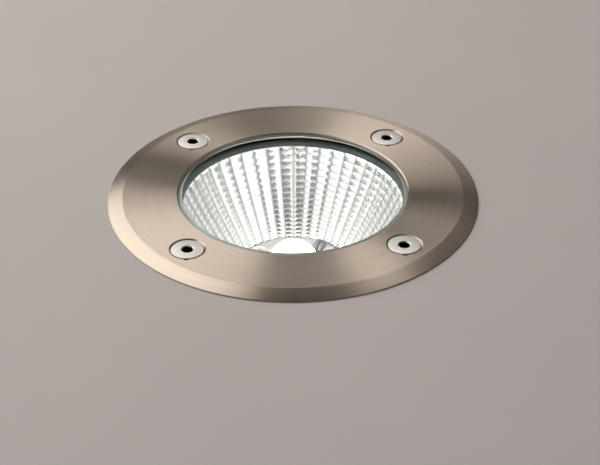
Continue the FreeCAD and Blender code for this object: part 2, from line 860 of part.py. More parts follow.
def make_earth_washer():
    """The cupped washer under the earth screw."""
    low = web_bottom - earth_washer_thickness
    washer = rod(earth_washer_radius, low, web_bottom, earth_x, earth_y)
    hole = earth_screw_radius + screw_clearance
    return washer.cut(rod(hole, low - overshoot, web_bottom + overshoot, earth_x, earth_y))


def make_earth_screw():
    """The earth screw, below the web."""
    seat = web_bottom - earth_washer_thickness
    length = earth_washer_thickness + earth_screw_grip - tap_margin
    return cap_screw(
        earth_x, earth_y, seat, -1, earth_screw_radius, length, earth_head_radius, earth_head_height
    )


# ---------------------------------------------------------------- base cover and gland
def make_base_cover():
    """The cover under the wiring room, with a spigot that carries the square seal."""
    groove_middle = housing_bottom + spigot_height / 2
    body = turned([
        (gland_thread_radius + thread_gap, cover_bottom),
        (housing_radius, cover_bottom),
        (housing_radius, housing_bottom),
        (spigot_radius, housing_bottom),
        (spigot_radius, groove_middle - seal_groove_height / 2),
        (groove_radius, groove_middle - seal_groove_height / 2),
        (groove_radius, groove_middle + seal_groove_height / 2),
        (spigot_radius, groove_middle + seal_groove_height / 2),
        (spigot_radius, spigot_top),
        (gland_thread_radius + thread_gap, spigot_top),
    ])
    hole = base_screw_radius + screw_clearance
    cutters = []
    for x, y in base_screw_places():
        cutters.append(rod(hole, cover_bottom - overshoot, spigot_top + overshoot, x, y))
    return body.cut(cutters)


def make_base_seal():
    """The square rubber seal in the cover's groove."""
    half_gap = seal_gap / 2
    half_height = seal_section / 2 - half_gap
    middle = housing_bottom + spigot_height / 2
    return ring(groove_radius + half_gap, bowl_radius - half_gap, middle - half_height, middle + half_height)


def make_base_screws():
    """Screws that hold the base cover."""
    length = cover_thickness + spigot_height + base_screw_grip
    return [
        cap_screw(x, y, cover_bottom, -1, base_screw_radius, length, base_head_radius, base_head_height)
        for x, y in base_screw_places()
    ]


def make_gland_body():
    """The gland's body: thread through the cover, hexagon below it, and a tail for the nut."""
    locknut_top = spigot_top + locknut_height
    body = fused([
        rod(gland_thread_radius, hex_top, locknut_top),
        hexagon(gland_hex_width, hex_bottom, hex_top),
        rod(gland_tail_radius, tail_bottom, hex_bottom),
    ])
    socket = gland_tail_radius - gland_tail_wall
    return body.cut([
        rod(gland_bore_radius, tail_bottom - overshoot, locknut_top + overshoot),
        rod(socket, tail_bottom - overshoot, seal_top),
    ])


def make_gland_washer():
    """The flat rubber washer between the gland and the cover."""
    return ring(gland_thread_radius + seal_gap, gland_washer_radius, hex_top, cover_bottom)


def make_gland_seal():
    """The rubber sleeve that grips the cable."""
    return ring(cable_radius, gland_seal_radius, seal_bottom, seal_top)


def make_gland_nut():
    """The domed nut that squeezes the seal on the cable."""
    inner = gland_tail_radius + thread_gap
    nut_top = hex_bottom - thread_gap
    dome_top = nut_bottom + nut_dome_height
    grip = hexagon(nut_width, dome_top, nut_top)
    barrel = rod(inner + nut_wall, dome_top, nut_top)
    dome = cone(nut_tip_radius, inner + nut_wall, nut_bottom, dome_top)
    cavity_taper = cone(gland_seal_radius + seal_gap, inner, seal_bottom, tail_bottom)
    return fused([grip, barrel, dome]).cut([
        rod(inner, tail_bottom, nut_top + overshoot),
        cavity_taper,
        rod(nut_hole_radius, nut_bottom - overshoot, seal_bottom + overshoot),
    ])


def make_gland_locknut():
    """The nut that holds the gland inside the wiring room."""
    nut = hexagon(locknut_width, spigot_top, spigot_top + locknut_height)
    bore = gland_thread_radius + thread_gap
    return nut.cut(rod(bore, spigot_top - overshoot, spigot_top + locknut_height + overshoot))


# ---------------------------------------------------------------- ground sleeve
def upright_ribs():
    """Stiffening ribs up the outside of the sleeve, clear of its two side entries."""
    inner = sleeve_radius - sleeve_wall / 2
    top = tube_top - collar_lap - seal_gap
    shell = ring(inner, rib_radius, -sleeve_depth, top)
    half_width = upright_rib_width / 2
    bar = block((inner - overshoot, -half_width, -sleeve_depth), (rib_radius, half_width, top))
    step_angle = FULL_TURN / upright_rib_count
    return [
        turn_about_z(bar, step_angle * (step + 1 / 2)).common(shell)
        for step in range(upright_rib_count)
    ]


def make_sleeve_collar():
    """The collar that is glued on the tube: it meets the paving and keeps the tube's top round."""
    lap_bottom = tube_top - collar_lap
    lap_inner = sleeve_radius + seal_gap
    return turned([
        (sleeve_bore, 0.0),
        (sleeve_collar_radius, 0.0),
        (sleeve_collar_radius, lap_bottom),
        (lap_inner, lap_bottom),
        (lap_inner, tube_top),
        (sleeve_bore, tube_top),
    ])


def make_ground_sleeve():
    """The tube that stays in the ground: ribs, foot ring, side entries and four inner lugs."""
    base = -sleeve_depth
    tube = turned([
        (base_opening_radius, base),
        (rib_radius, base),
        (rib_radius, base + foot_ring_height),
        (sleeve_radius, base + foot_ring_height),
        (sleeve_radius, tube_top),
        (sleeve_bore, tube_top),
        (sleeve_bore, base + base_ring_thickness),
        (base_opening_radius, base + base_ring_thickness),
    ])
    pieces = [tube] + upright_ribs()
    for step in range(rib_count):
        top = tube_top - rib_spacing * (step + 1) + rib_height
        pieces.append(ring(sleeve_radius - sleeve_wall / 2, rib_radius, top - rib_height, top))
    lug_top = flange_bottom - lift_gap
    lug_back = sleeve_bore + sleeve_wall / 4
    side_view = [
        FreeCAD.Vector(lug_back, -lug_width / 2, lug_top),
        FreeCAD.Vector(lug_inner, -lug_width / 2, lug_top),
        FreeCAD.Vector(lug_inner, -lug_width / 2, lug_top - lug_thickness),
        FreeCAD.Vector(lug_back, -lug_width / 2, lug_top - lug_thickness - lug_gusset),
    ]
    lug = Part.Face(Part.makePolygon(side_view + side_view[:1])).extrude(FreeCAD.Vector(0, lug_width, 0))
    lug_start = bezel_screw_turn - HALF_TURN / bezel_screw_count
    for step in range(lug_count):
        pieces.append(turn_about_z(lug, lug_start + FULL_TURN * step / lug_count))
    start = FreeCAD.Vector(-rib_radius - overshoot, 0, entry_level)
    entries = Part.makeCylinder(entry_radius, 2 * (rib_radius + overshoot), start, FreeCAD.Vector(1, 0, 0))
    return fused(pieces).cut(entries)


# ---------------------------------------------------------------- writing
MAKERS = {
    "bezel_ring": make_bezel_ring,
    "bezel_screws": make_bezel_screws,
    "glass_lens": make_glass_lens,
    "glass_gasket": make_glass_gasket,
    "lamp_housing": make_lamp_housing,
    "reflector": make_reflector,
    "led_dome": make_led_dome,
    "led_board": make_led_board,
    "led_board_screws": make_led_board_screws,
    "thermal_pad": make_thermal_pad,
    "lead_grommet": make_lead_grommet,
    "led_leads": make_led_leads,
    "driver_case": make_driver_case,
    "driver_screws": make_driver_screws,
    "driver_lid": make_driver_lid,
    "driver_board": make_driver_board,
    "driver_components": make_driver_components,
    "driver_leads": make_driver_leads,
    "terminal_block": make_terminal_block,
    "terminal_clamp_screws": make_terminal_clamp_screws,
    "terminal_fixing_screws": make_terminal_fixing_screws,
    "earth_screw": make_earth_screw,
    "earth_washer": make_earth_washer,
    "base_cover": make_base_cover,
    "base_seal": make_base_seal,
    "base_screws": make_base_screws,
    "gland_body": make_gland_body,
    "gland_washer": make_gland_washer,
    "gland_seal": make_gland_seal,
    "gland_nut": make_gland_nut,
    "gland_locknut": make_gland_locknut,
    "ground_sleeve": make_ground_sleeve,
    "sleeve_collar": make_sleeve_collar,
}


def write_part(name, made):
    """Write one named piece, or a group of separate solids, as a STEP file."""
    shape = Part.makeCompound(made) if isinstance(made, list) else made
    shape.exportStep("parts/" + name + ".step")
    print(name, "solids", len(shape.Solids), "valid", shape.isValid(), "volume", round(shape.Volume, 1))


os.makedirs("parts", exist_ok=True)
for part_name, maker in MAKERS.items():
    write_part(part_name, maker())
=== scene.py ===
import json
import math

import bmesh
import bpy
from mathutils import Matrix, Vector


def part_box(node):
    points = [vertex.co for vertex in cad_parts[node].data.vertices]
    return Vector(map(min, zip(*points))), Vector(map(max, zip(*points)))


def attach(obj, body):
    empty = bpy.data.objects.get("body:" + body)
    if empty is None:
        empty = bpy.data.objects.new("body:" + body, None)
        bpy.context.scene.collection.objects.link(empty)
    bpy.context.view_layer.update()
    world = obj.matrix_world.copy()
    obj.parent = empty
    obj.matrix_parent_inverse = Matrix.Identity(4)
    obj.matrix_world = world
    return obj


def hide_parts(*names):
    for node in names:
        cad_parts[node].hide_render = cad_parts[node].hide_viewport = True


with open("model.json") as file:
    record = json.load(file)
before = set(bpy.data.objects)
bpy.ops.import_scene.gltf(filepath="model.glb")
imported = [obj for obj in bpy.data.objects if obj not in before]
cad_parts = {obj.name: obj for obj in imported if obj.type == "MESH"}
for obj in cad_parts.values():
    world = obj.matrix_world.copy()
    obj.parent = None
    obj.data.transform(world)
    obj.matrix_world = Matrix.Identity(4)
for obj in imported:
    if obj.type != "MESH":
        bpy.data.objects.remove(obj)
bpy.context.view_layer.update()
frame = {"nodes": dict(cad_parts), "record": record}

# The looks of a round in-ground well light: brushed bezel, stepped glass, pillowed reflector, lit dome,
# cast housing and plastic ground sleeve. Metres. z = 0 is the paving, and the Z axis is the light's own.

MM = 0.001

# ---------------------------------------------------------------- sizes read from the frame
bezel_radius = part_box("bezel_ring")[1].x
bezel_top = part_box("bezel_ring")[1].z
screw_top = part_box("bezel_screws")[1].z
screw_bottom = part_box("bezel_screws")[0].z
glass_flange_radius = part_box("glass_lens")[1].x
glass_bottom, glass_top = (corner.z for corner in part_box("glass_lens"))
gasket_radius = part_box("glass_gasket")[1].x
gasket_bottom, gasket_top = (corner.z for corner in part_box("glass_gasket"))
rim_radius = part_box("reflector")[1].x
reflector_bottom, reflector_top = (corner.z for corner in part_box("reflector"))
dome_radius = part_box("led_dome")[1].x
dome_bottom, dome_top = (corner.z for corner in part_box("led_dome"))

# ---------------------------------------------------------------- sizes of the bezel and its screws
bevel_inner_radius = 50.6 * MM
bezel_edge_height = 0.4 * MM
bezel_underside = 0.3 * MM
land_radius = 53.3 * MM
opening_radius = 34.3 * MM
opening_chamfer = 0.3 * MM
bevel_crest_round = 0.3 * MM
bezel_foot_round = 0.12 * MM
screw_count = 4
screw_turn = math.radians(46.8)
screw_seed = 4
screw_circle = 43.15 * MM
head_radius = 5.0 * MM
head_gap = 0.26 * MM
head_edge_round = 0.22 * MM
shank_radius = 2.5 * MM
shank_end_round = 0.3 * MM
hole_radius = 2.75 * MM
socket_width = 3.0 * MM
socket_depth = 2.0 * MM
socket_chamfer = 0.28 * MM
socket_slack = 0.1 * MM    # how far outside the socket a face may lie and still get the painted shade
notch_width = 1.4 * MM
notch_reach = 0.42 * MM
notch_depth = 0.9 * MM
countersink_lip = 0.06 * MM

# ---------------------------------------------------------------- sizes of the glass and its gasket
glass_step_radius = 33.85 * MM
glass_step_height = -0.8 * MM
glass_chamfer = 0.4 * MM
glass_top_chamfer = 0.8 * MM
gasket_upper_inner = 35.0 * MM
gasket_lower_inner = 36.2 * MM
gasket_round = 0.2 * MM
level_face = 0.95          # a face is clear where its normal is this upright, and ground elsewhere

# ---------------------------------------------------------------- segments round Z
bezel_segments = 384
glass_segments = 256
gasket_segments = 192
screw_segments = 96
chamfer_segments = 48
dome_segments = 96
dome_steps = 28            # from the dome's straight foot up to its crown
reflector_back_steps = 24  # from the rim's underside down to the foot
floor_segments = 720

# ---------------------------------------------------------------- sizes of the reflector
facet_columns = 48
facet_rows = 17
facet_steps = 6
facet_row_ratio = 0.945
mouth_radius = 32.9 * MM
throat_radius = 18.5 * MM
throat_height = -32.0 * MM
cell_side_tilt = 0.20      # how steep a cell is at its sides, and at its ends
cell_end_tilt = 0.13
column_valley_edge = 24.0  # the higher, the narrower the dull, painted-dark line between columns, and between rows
row_valley_edge = 9.0
row_valley_share = 0.4     # how dull and painted-dark the line between rows is against the one between columns
fade_per_row = 4.0         # the columns' pillows fade out in the last quarter row at rim and throat
reflector_wall = 1.0 * MM
rim_underside = -8.0 * MM
foot_radius = 20.5 * MM
cell_weld = 0.002 * MM     # joins the cells' outer edges to the shell's

# ---------------------------------------------------------------- finishes
dome_glow = 10.0
edge_painted_glow = 0.10           # painted glow on the glass's ground edge, standing in for the LED's light that leaves through it
glass_gloss = 0.03
# painted shade: the near-black tone inside the screws' sockets
socket_painted_shade_tone = (0.015, 0.013, 0.012)
mirror_roughness = 0.06
mirror_skin = 0.03
mirror_tone = (0.96, 0.965, 0.955)
valley_roughness = 0.3
# painted shade: the darker tone of the creases between the mirror cells
valley_shade_tone = (0.42, 0.44, 0.42)
dust_share = 0.35
floor_roughness = 0.7
floor_dark = (0.560, 0.502, 0.468)
floor_light = (0.600, 0.538, 0.502)

# ---------------------------------------------------------------- camera and floor
camera_place = Vector((2.06, -385.49, 238.60)) * MM
camera_aim = Vector((2.06, -20.51, 0.0)) * MM
camera_roll = math.radians(-0.20)
camera_lens = 91.08
floor_left = -122 * MM
floor_right = 126 * MM
floor_front = -128 * MM
floor_back = 150 * MM
floor_hole_radius = 53.02 * MM

# ---------------------------------------------------------------- lamps and room
LAMPS = (
    # name, degrees round Z from +X, degrees up, size in metres, brightness
    ("left softbox", 151.0, 39.0, 1.54, 2.05),
    ("back softbox", 90.0, 48.0, 0.28, 1.40),
    ("back right lamp", 75.0, 48.0, 0.18, 4.70),
    ("lower right lamp", 75.0, 36.0, 0.105, 4.00),
    ("high right lamp", 48.0, 62.0, 0.245, 1.70),
    ("low back lamp", 87.0, 22.0, 0.14, 2.20),
    ("fill under right", 30.0, -35.0, 0.70, 1.00),
    ("fill under left", 150.0, -35.0, 0.70, 1.00),
    ("fill under front", 270.0, -35.0, 0.70, 1.00),
)
lamp_distance = 1.0
room_tone = (1.0, 0.99, 0.975, 1.0)
room_light = 0.14          # how bright the room is to matt faces, in metal and through the glass
room_in_metal = 0.03
room_through_glass = 1.5
dark_side = Vector((0.0, -1.0, 0.5))
dark_side_core = math.radians(18.0)
dark_side_reach = math.radians(24.0)
dark_side_light = 0.02

FULL_TURN = 2 * math.pi
NEARLY_ZERO = 1e-7


# ---------------------------------------------------------------- mesh helpers
def rounded(corners, steps=4):
    """An outline of (radius, height) points from corners (radius, height, round)."""
    points = []
    for index, (radius, height, size) in enumerate(corners):
        corner = Vector((radius, height))
        if not size:
            points.append(corner)
            continue
        before = Vector(corners[index - 1][:2]) - corner
        after = Vector(corners[(index + 1) % len(corners)][:2]) - corner
        half = before.angle(after) / 2
        setback = size / math.tan(half)
        middle = (before.normalized() + after.normalized()).normalized()
        centre = corner + middle * (size / math.sin(half))
        start = corner + before.normalized() * setback - centre
        end = corner + after.normalized() * setback - centre
        sweep = start.angle(end)
        for step in range(steps + 1):
            share = step / steps
            arm = start * math.sin((1 - share) * sweep) + end * math.sin(share * sweep)
            points.append(centre + arm / math.sin(sweep))
    return [(point.x, point.y) for point in points]


def turned(outline, segments):
    """A closed mesh turned about Z. Points on the axis become single poles."""
    form = bmesh.new()
    rings = []
    for radius, height in outline:
        if radius < NEARLY_ZERO:
            rings.append([form.verts.new((0, 0, height))] * segments)
            continue
        angles = [FULL_TURN * index / segments for index in range(segments)]
        rings.append([form.verts.new((radius * math.cos(a), radius * math.sin(a), height)) for a in angles])
    for index, lower in enumerate(rings):
        upper = rings[(index + 1) % len(rings)]
        for first in range(segments):
            second = (first + 1) % segments
            corners = []
            for vert in (lower[first], lower[second], upper[second], upper[first]):
                if vert not in corners:
                    corners.append(vert)
            if len(corners) > 2:
                form.faces.new(corners)
    bmesh.ops.recalc_face_normals(form, faces=form.faces)
    return form


def prism(sides, across_flats, low, high):
    """An upright prism, with its flats across_flats apart."""
    form = bmesh.new()
    reach = across_flats / 2 / math.cos(math.pi / sides)
    angles = [FULL_TURN * index / sides for index in range(sides)]
    lower, upper = (
        [form.verts.new((reach * math.cos(a), reach * math.sin(a), height)) for a in angles]
        for height in (low, high)
    )
    form.faces.new(lower)
    form.faces.new(upper)
    for first in range(sides):
        second = (first + 1) % sides
        form.faces.new((lower[first], lower[second], upper[second], upper[first]))
    bmesh.ops.recalc_face_normals(form, faces=form.faces)
    return form


def as_object(name, form):
    """A new object from a finished bmesh."""
    mesh = bpy.data.meshes.new(name)
    form.to_mesh(mesh)
    form.free()
    thing = bpy.data.objects.new(name, mesh)
    bpy.context.scene.collection.objects.link(thing)
    return thing


def drop(thing):
    """Deletes a helper object."""
    bpy.data.objects.remove(thing, do_unlink=True)


def settle(thing):
    """Puts the result of an object's modifiers into its mesh."""
    graph = bpy.context.evaluated_depsgraph_get()
    mesh = bpy.data.meshes.new_from_object(thing.evaluated_get(graph))
    thing.modifiers.clear()
    thing.data = mesh
    return thing


def cut(thing, cutters):
    """Cuts helper objects out of a piece, and deletes them."""
    for cutter in cutters:
        modifier = thing.modifiers.new("cut", "BOOLEAN")
        modifier.operation = "DIFFERENCE"
        modifier.solver = "EXACT"
        modifier.object = cutter
    settle(thing)
    for cutter in cutters:
        drop(cutter)
    return thing


def smooth(thing, degrees):
    """Smooth shading, with a sharp edge where two faces meet at more than an angle."""
    for face in thing.data.polygons:
        face.use_smooth = True
    thing.data.set_sharp_from_angle(angle=math.radians(degrees))
    return thing


def soften(thing, width, degrees=40):
    """A small round along every sharp edge."""
    modifier = thing.modifiers.new("soft edges", "BEVEL")
    modifier.width = width
    modifier.segments = 2
    modifier.limit_method = "ANGLE"
    modifier.angle_limit = math.radians(degrees)
    modifier.harden_normals = False
    return settle(thing)


def copy_of(node, name):
    """A merged copy of a CAD node's mesh, for a piece that keeps its exact shape."""
    form = bmesh.new()
    form.from_mesh(frame["nodes"][node].data)
    bmesh.ops.remove_doubles(form, verts=form.verts, dist=copy_weld)
    return as_object(name, form)


def finish_piece(thing, body, slot, *nodes):
    """Gives a piece its body and its slot with that slot's material, and hides the nodes that it stands for.
    """
    thing.data.materials.clear()
    thing.data.materials.append(materials[slot])
    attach(thing, body)
    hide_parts(*nodes)
    return thing


# ---------------------------------------------------------------- node helpers
class Sums:
    """Arithmetic on the sockets of a node tree."""

    def __init__(self, tree):
        self.tree = tree

    def feed(self, socket, value):
        """Links a socket to a socket, or sets it to a plain value."""
        if isinstance(value, bpy.types.NodeSocket):
            self.tree.links.new(value, socket)
        else:
            socket.default_value = value

    def do(self, operation, *values, clamp=False):
        """One step of arithmetic."""
        node = self.tree.nodes.new("ShaderNodeMath")
        node.operation = operation
        node.use_clamp = clamp
        for socket, value in zip(node.inputs, values):
            self.feed(socket, value)
        return node.outputs[0]

    def vector(self, x, y, z):
        """A vector from its three parts."""
        node = self.tree.nodes.new("ShaderNodeCombineXYZ")
        for socket, value in zip(node.inputs, (x, y, z)):
            self.feed(socket, value)
        return node.outputs[0]

    def parts(self, vector):
        """The three parts of a vector."""
        node = self.tree.nodes.new("ShaderNodeSeparateXYZ")
        self.feed(node.inputs[0], vector)
        return node.outputs

    def mix(self, share, first, second):
        """first where share is 0 and second where it is 1."""
        return self.do("ADD", self.do("MULTIPLY", self.do("SUBTRACT", second, first), share), first)

    def noise(self, vector, scale, detail, roughness):
        """Soft random tone from 0 to 1."""
        node = self.tree.nodes.new("ShaderNodeTexNoise")
        self.feed(node.inputs["Vector"], vector)
        self.feed(node.inputs["Scale"], scale)
        self.feed(node.inputs["Detail"], detail)
        self.feed(node.inputs["Roughness"], roughness)
        return node.outputs[0]

    def ramp(self, value, low, high):
        """0 below low, 1 above high, and even between them."""
        node = self.tree.nodes.new("ShaderNodeMapRange")
        for socket, number in zip(node.inputs, (value, low, high, 0.0, 1.0)):
            self.feed(socket, number)
        return node.outputs[0]


def new_tree(name, kind, inputs, outputs):
    """A node group with named inputs (name, kind, default) and outputs (name, kind)."""
    tree = bpy.data.node_groups.new(name, kind)
    for label, socket_kind, *default in inputs:
        socket = tree.interface.new_socket(label, in_out="INPUT", socket_type=socket_kind)
        if default:
            socket.default_value = default[0]
    for label, socket_kind in outputs:
        tree.interface.new_socket(label, in_out="OUTPUT", socket_type=socket_kind)
    way_in = tree.nodes.new("NodeGroupInput")
    way_out = tree.nodes.new("NodeGroupOutput")
    return tree, way_in.outputs, way_out.inputs, Sums(tree)


VECTOR = "NodeSocketVector"
FLOAT = "NodeSocketFloat"
INTEGER = "NodeSocketInt"
GEOMETRY = "NodeSocketGeometry"
OBJECT = "NodeSocketObject"
MATERIAL = "NodeSocketMaterial"


def run_tree(thing, tree, values):
    """Runs a Geometry Nodes tree on an object with named values, and keeps the plain mesh."""
    modifier = thing.modifiers.new("nodes", "NODES")
    modifier.node_group = tree
    for item in tree.interface.items_tree:
        if item.in_out == "INPUT" and item.name in values:
            modifier[item.identifier] = values[item.name]
    return settle(thing)


# ---------------------------------------------------------------- surface effects that materials share
def make_ring_grain():
    """Fine grooves round Z: Streak is the tone of each groove, and Height its depth."""
    tree, give, take, sums = new_tree(
        "ring grain", "ShaderNodeTree",
        [("Place", VECTOR), ("Grooves", FLOAT, 9000.0), ("Runs", FLOAT, 3.0)],
        [("Streak", FLOAT), ("Height", FLOAT)],
    )
    x, y = sums.parts(give["Place"])[:2]
    square = sums.do("ADD", sums.do("MULTIPLY", x, x), sums.do("MULTIPLY", y, y))
    radius = sums.do("ADD", sums.do("SQRT", square), 1e-6)
    across = sums.do("MULTIPLY", sums.do("DIVIDE", x, radius), give["Runs"])
    along = sums.do("MULTIPLY", sums.do("DIVIDE", y, radius), give["Runs"])
    place = sums.vector(sums.do("MULTIPLY", radius, give["Grooves"]), across, along)
    fine = sums.noise(place, 1.0, 3.0, 0.7)
    broad = sums.noise(place, 0.22, 2.0, 0.5)
    sums.feed(take["Streak"], sums.mix(0.4, fine, broad))
    sums.feed(take["Height"], fine)
    return tree


def make_skin():
    """A moulded or cast skin: Height is its texture, Tone and Dust vary slowly over the piece."""
    tree, give, take, sums = new_tree(
        "skin", "ShaderNodeTree",
        [("Place", VECTOR), ("Grain", FLOAT, 2500.0), ("Patch", FLOAT, 60.0)],
        [("Tone", FLOAT), ("Dust", FLOAT), ("Height", FLOAT)],
    )
    fine = sums.noise(give["Place"], give["Grain"], 3.0, 0.6)
    patch = sums.noise(give["Place"], give["Patch"], 4.0, 0.6)
    sums.feed(take["Tone"], sums.mix(0.35, patch, fine))
    sums.feed(take["Dust"], sums.ramp(patch, 0.48, 0.72))
    sums.feed(take["Height"], fine)
    return tree


RING_GRAIN = make_ring_grain()
SKIN = make_skin()


# ---------------------------------------------------------------- materials
def new_material(name, **plain):
    """A material with one Principled shader, its plain values set on its own sockets."""
    material = bpy.data.materials.new(name)
    material.use_nodes = True
    shader = material.node_tree.nodes["Principled BSDF"]
    for label, value in plain.items():
        shader.inputs[label.replace("_", " ")].default_value = value
    return material, material.node_tree, shader, Sums(material.node_tree)


def place_on(tree, attribute=None):
    """Object coordinates, or a vector attribute that is stored on the piece."""
    if attribute:
        node = tree.nodes.new("ShaderNodeAttribute")
        node.attribute_name = attribute
        return node.outputs["Vector"]
    return tree.nodes.new("ShaderNodeTexCoord").outputs["Object"]


def use_group(sums, group, place, **values):
    """Places a shared effect in a material, with that material's own values."""
    node = sums.tree.nodes.new("ShaderNodeGroup")
    node.node_tree = group
    sums.feed(node.inputs["Place"], place)
    for label, value in values.items():
        node.inputs[label].default_value = value
    return node.outputs


def blend_colours(sums, share, dark, light):
    """dark where share is 0 and light where it is 1."""
    node = sums.tree.nodes.new("ShaderNodeMix")
    node.data_type = "RGBA"
    sums.feed(node.inputs[0], share)
    for socket, tone in ((node.inputs[6], dark), (node.inputs[7], light)):
        sums.feed(socket, (*tone, 1.0) if isinstance(tone, tuple) else tone)
    return node.outputs[2]


def bump(sums, height, strength, distance):
    """A normal that follows a relief of a given depth."""
    node = sums.tree.nodes.new("ShaderNodeBump")
    node.inputs["Strength"].default_value = strength
    node.inputs["Distance"].default_value = distance
    sums.feed(node.inputs["Height"], height)
    return node.outputs[0]


def turned_metal(
    name, dark, light, roughness, grooves, depth, attribute=None, anisotropy=0.0, spread=0.1, painted_shade_mask=None,
):
    """Metal with grooves round its axis, which spread its gloss across them. Faces under the mask get a
    painted shade.
    """
    material, tree, shader, sums = new_material(
        name, Metallic=1.0, Anisotropic=anisotropy, Anisotropic_Rotation=0.25,
    )
    shader.distribution = "GGX"
    grain = use_group(sums, RING_GRAIN, place_on(tree, attribute), Grooves=grooves)
    tone = sums.ramp(grain["Streak"], 0.32, 0.68)
    colour = blend_colours(sums, tone, dark, light)
    # painted shade: faces under the mask blend to a near-black tone
    if painted_shade_mask:
        mask = tree.nodes.new("ShaderNodeAttribute")
        mask.attribute_name = painted_shade_mask
        colour = blend_colours(sums, mask.outputs["Fac"], colour, socket_painted_shade_tone)
    sums.feed(shader.inputs["Base Color"], colour)
    sums.feed(shader.inputs["Roughness"], sums.mix(tone, roughness + spread, roughness))
    sums.feed(shader.inputs["Normal"], bump(sums, grain["Height"], 1.0, depth))
    return material


def skinned(name, dark, light, roughness, grain, depth, spread=0.08, patch=60.0, dust=None, **plain):
    """A cast, moulded or painted finish with a fine texture and a slow change of tone."""
    material, tree, shader, sums = new_material(name, **plain)
    skin = use_group(sums, SKIN, place_on(tree), Grain=grain, Patch=patch)
    tone = sums.ramp(skin["Tone"], 0.3, 0.7)
    colour = blend_colours(sums, tone, dark, light)
    if dust:
        colour = blend_colours(sums, sums.do("MULTIPLY", skin["Dust"], dust_share), colour, dust)
    sums.feed(shader.inputs["Base Color"], colour)
    sums.feed(shader.inputs["Roughness"], sums.mix(tone, roughness, roughness + spread))
    sums.feed(shader.inputs["Normal"], bump(sums, skin["Height"], 1.0, depth))
    return material


def clear_glass():
    """Toughened glass with a faint green-grey tint."""
    material, tree, shader, sums = new_material(
        "clear glass", Transmission_Weight=1.0, IOR=1.5, Metallic=0.0, Specular_IOR_Level=glass_gloss,
    )
    skin = use_group(sums, SKIN, place_on(tree), Grain=900.0, Patch=40.0)
    tone = sums.ramp(skin["Tone"], 0.35, 0.65)
    colour = blend_colours(sums, tone, (0.975, 0.988, 0.98), (0.985, 0.995, 0.988))
    sums.feed(shader.inputs["Base Color"], colour)
    sums.feed(shader.inputs["Roughness"], sums.mix(skin["Dust"], 0.0, 0.012))
    return material


def ground_edge():
    """The glass's ground edge: frosted, grey-green, with a faint painted glow in its own colour."""
    material, tree, shader, sums = new_material(
        "ground glass edge", Transmission_Weight=0.15, IOR=1.5, Metallic=0.0, Emission_Strength=edge_painted_glow,
    )
    skin = use_group(sums, SKIN, place_on(tree), Grain=4000.0, Patch=300.0)
    tone = sums.ramp(skin["Tone"], 0.3, 0.7)
    colour = blend_colours(sums, tone, (0.44, 0.52, 0.46), (0.60, 0.68, 0.62))
    sums.feed(shader.inputs["Base Color"], colour)
    # painted glow: the edge's own colour is also its emission
    sums.feed(shader.inputs["Emission Color"], colour)
    sums.feed(shader.inputs["Roughness"], sums.mix(tone, 0.28, 0.42))
    sums.feed(shader.inputs["Normal"], bump(sums, skin["Height"], 0.6, 0.02 * MM))
    return material


def lit_silicone():
    """The lit dome: bright at its crown and a little warmer round its foot."""
    material, tree, shader, sums = new_material("lit silicone", Roughness=0.25, Emission_Strength=dome_glow)
    place = place_on(tree)
    crown = sums.ramp(sums.parts(place)[2], dome_bottom, dome_top)
    skin = use_group(sums, SKIN, place, Grain=1500.0, Patch=200.0)
    warm = sums.do("MULTIPLY", crown, sums.mix(skin["Tone"], 0.9, 1.1))
    colour = blend_colours(sums, warm, (1.0, 0.93, 0.82), (1.0, 0.99, 0.97))
    sums.feed(shader.inputs["Base Color"], colour)
    sums.feed(shader.inputs["Emission Color"], colour)
    return material


def mirror_cells():
    """Vacuum-metallised mirror cells, a little duller along the valleys between them, with painted shade
    darkening those valleys.
    """
    material, tree, shader, sums = new_material("reflector silver", Metallic=1.0)
    skin = use_group(sums, SKIN, place_on(tree), Grain=3000.0, Patch=120.0)
    valley = sums.parts(place_on(tree, "valley"))[0]
    # painted shade: the valleys blend towards a darker tone, and are also rougher
    colour = blend_colours(sums, valley, mirror_tone, valley_shade_tone)
    sums.feed(shader.inputs["Base Color"], colour)
    rough = sums.mix(valley, mirror_roughness, valley_roughness)
    rough = sums.do("ADD", rough, sums.do("MULTIPLY", skin["Tone"], mirror_skin))
    sums.feed(shader.inputs["Roughness"], rough)
    return material


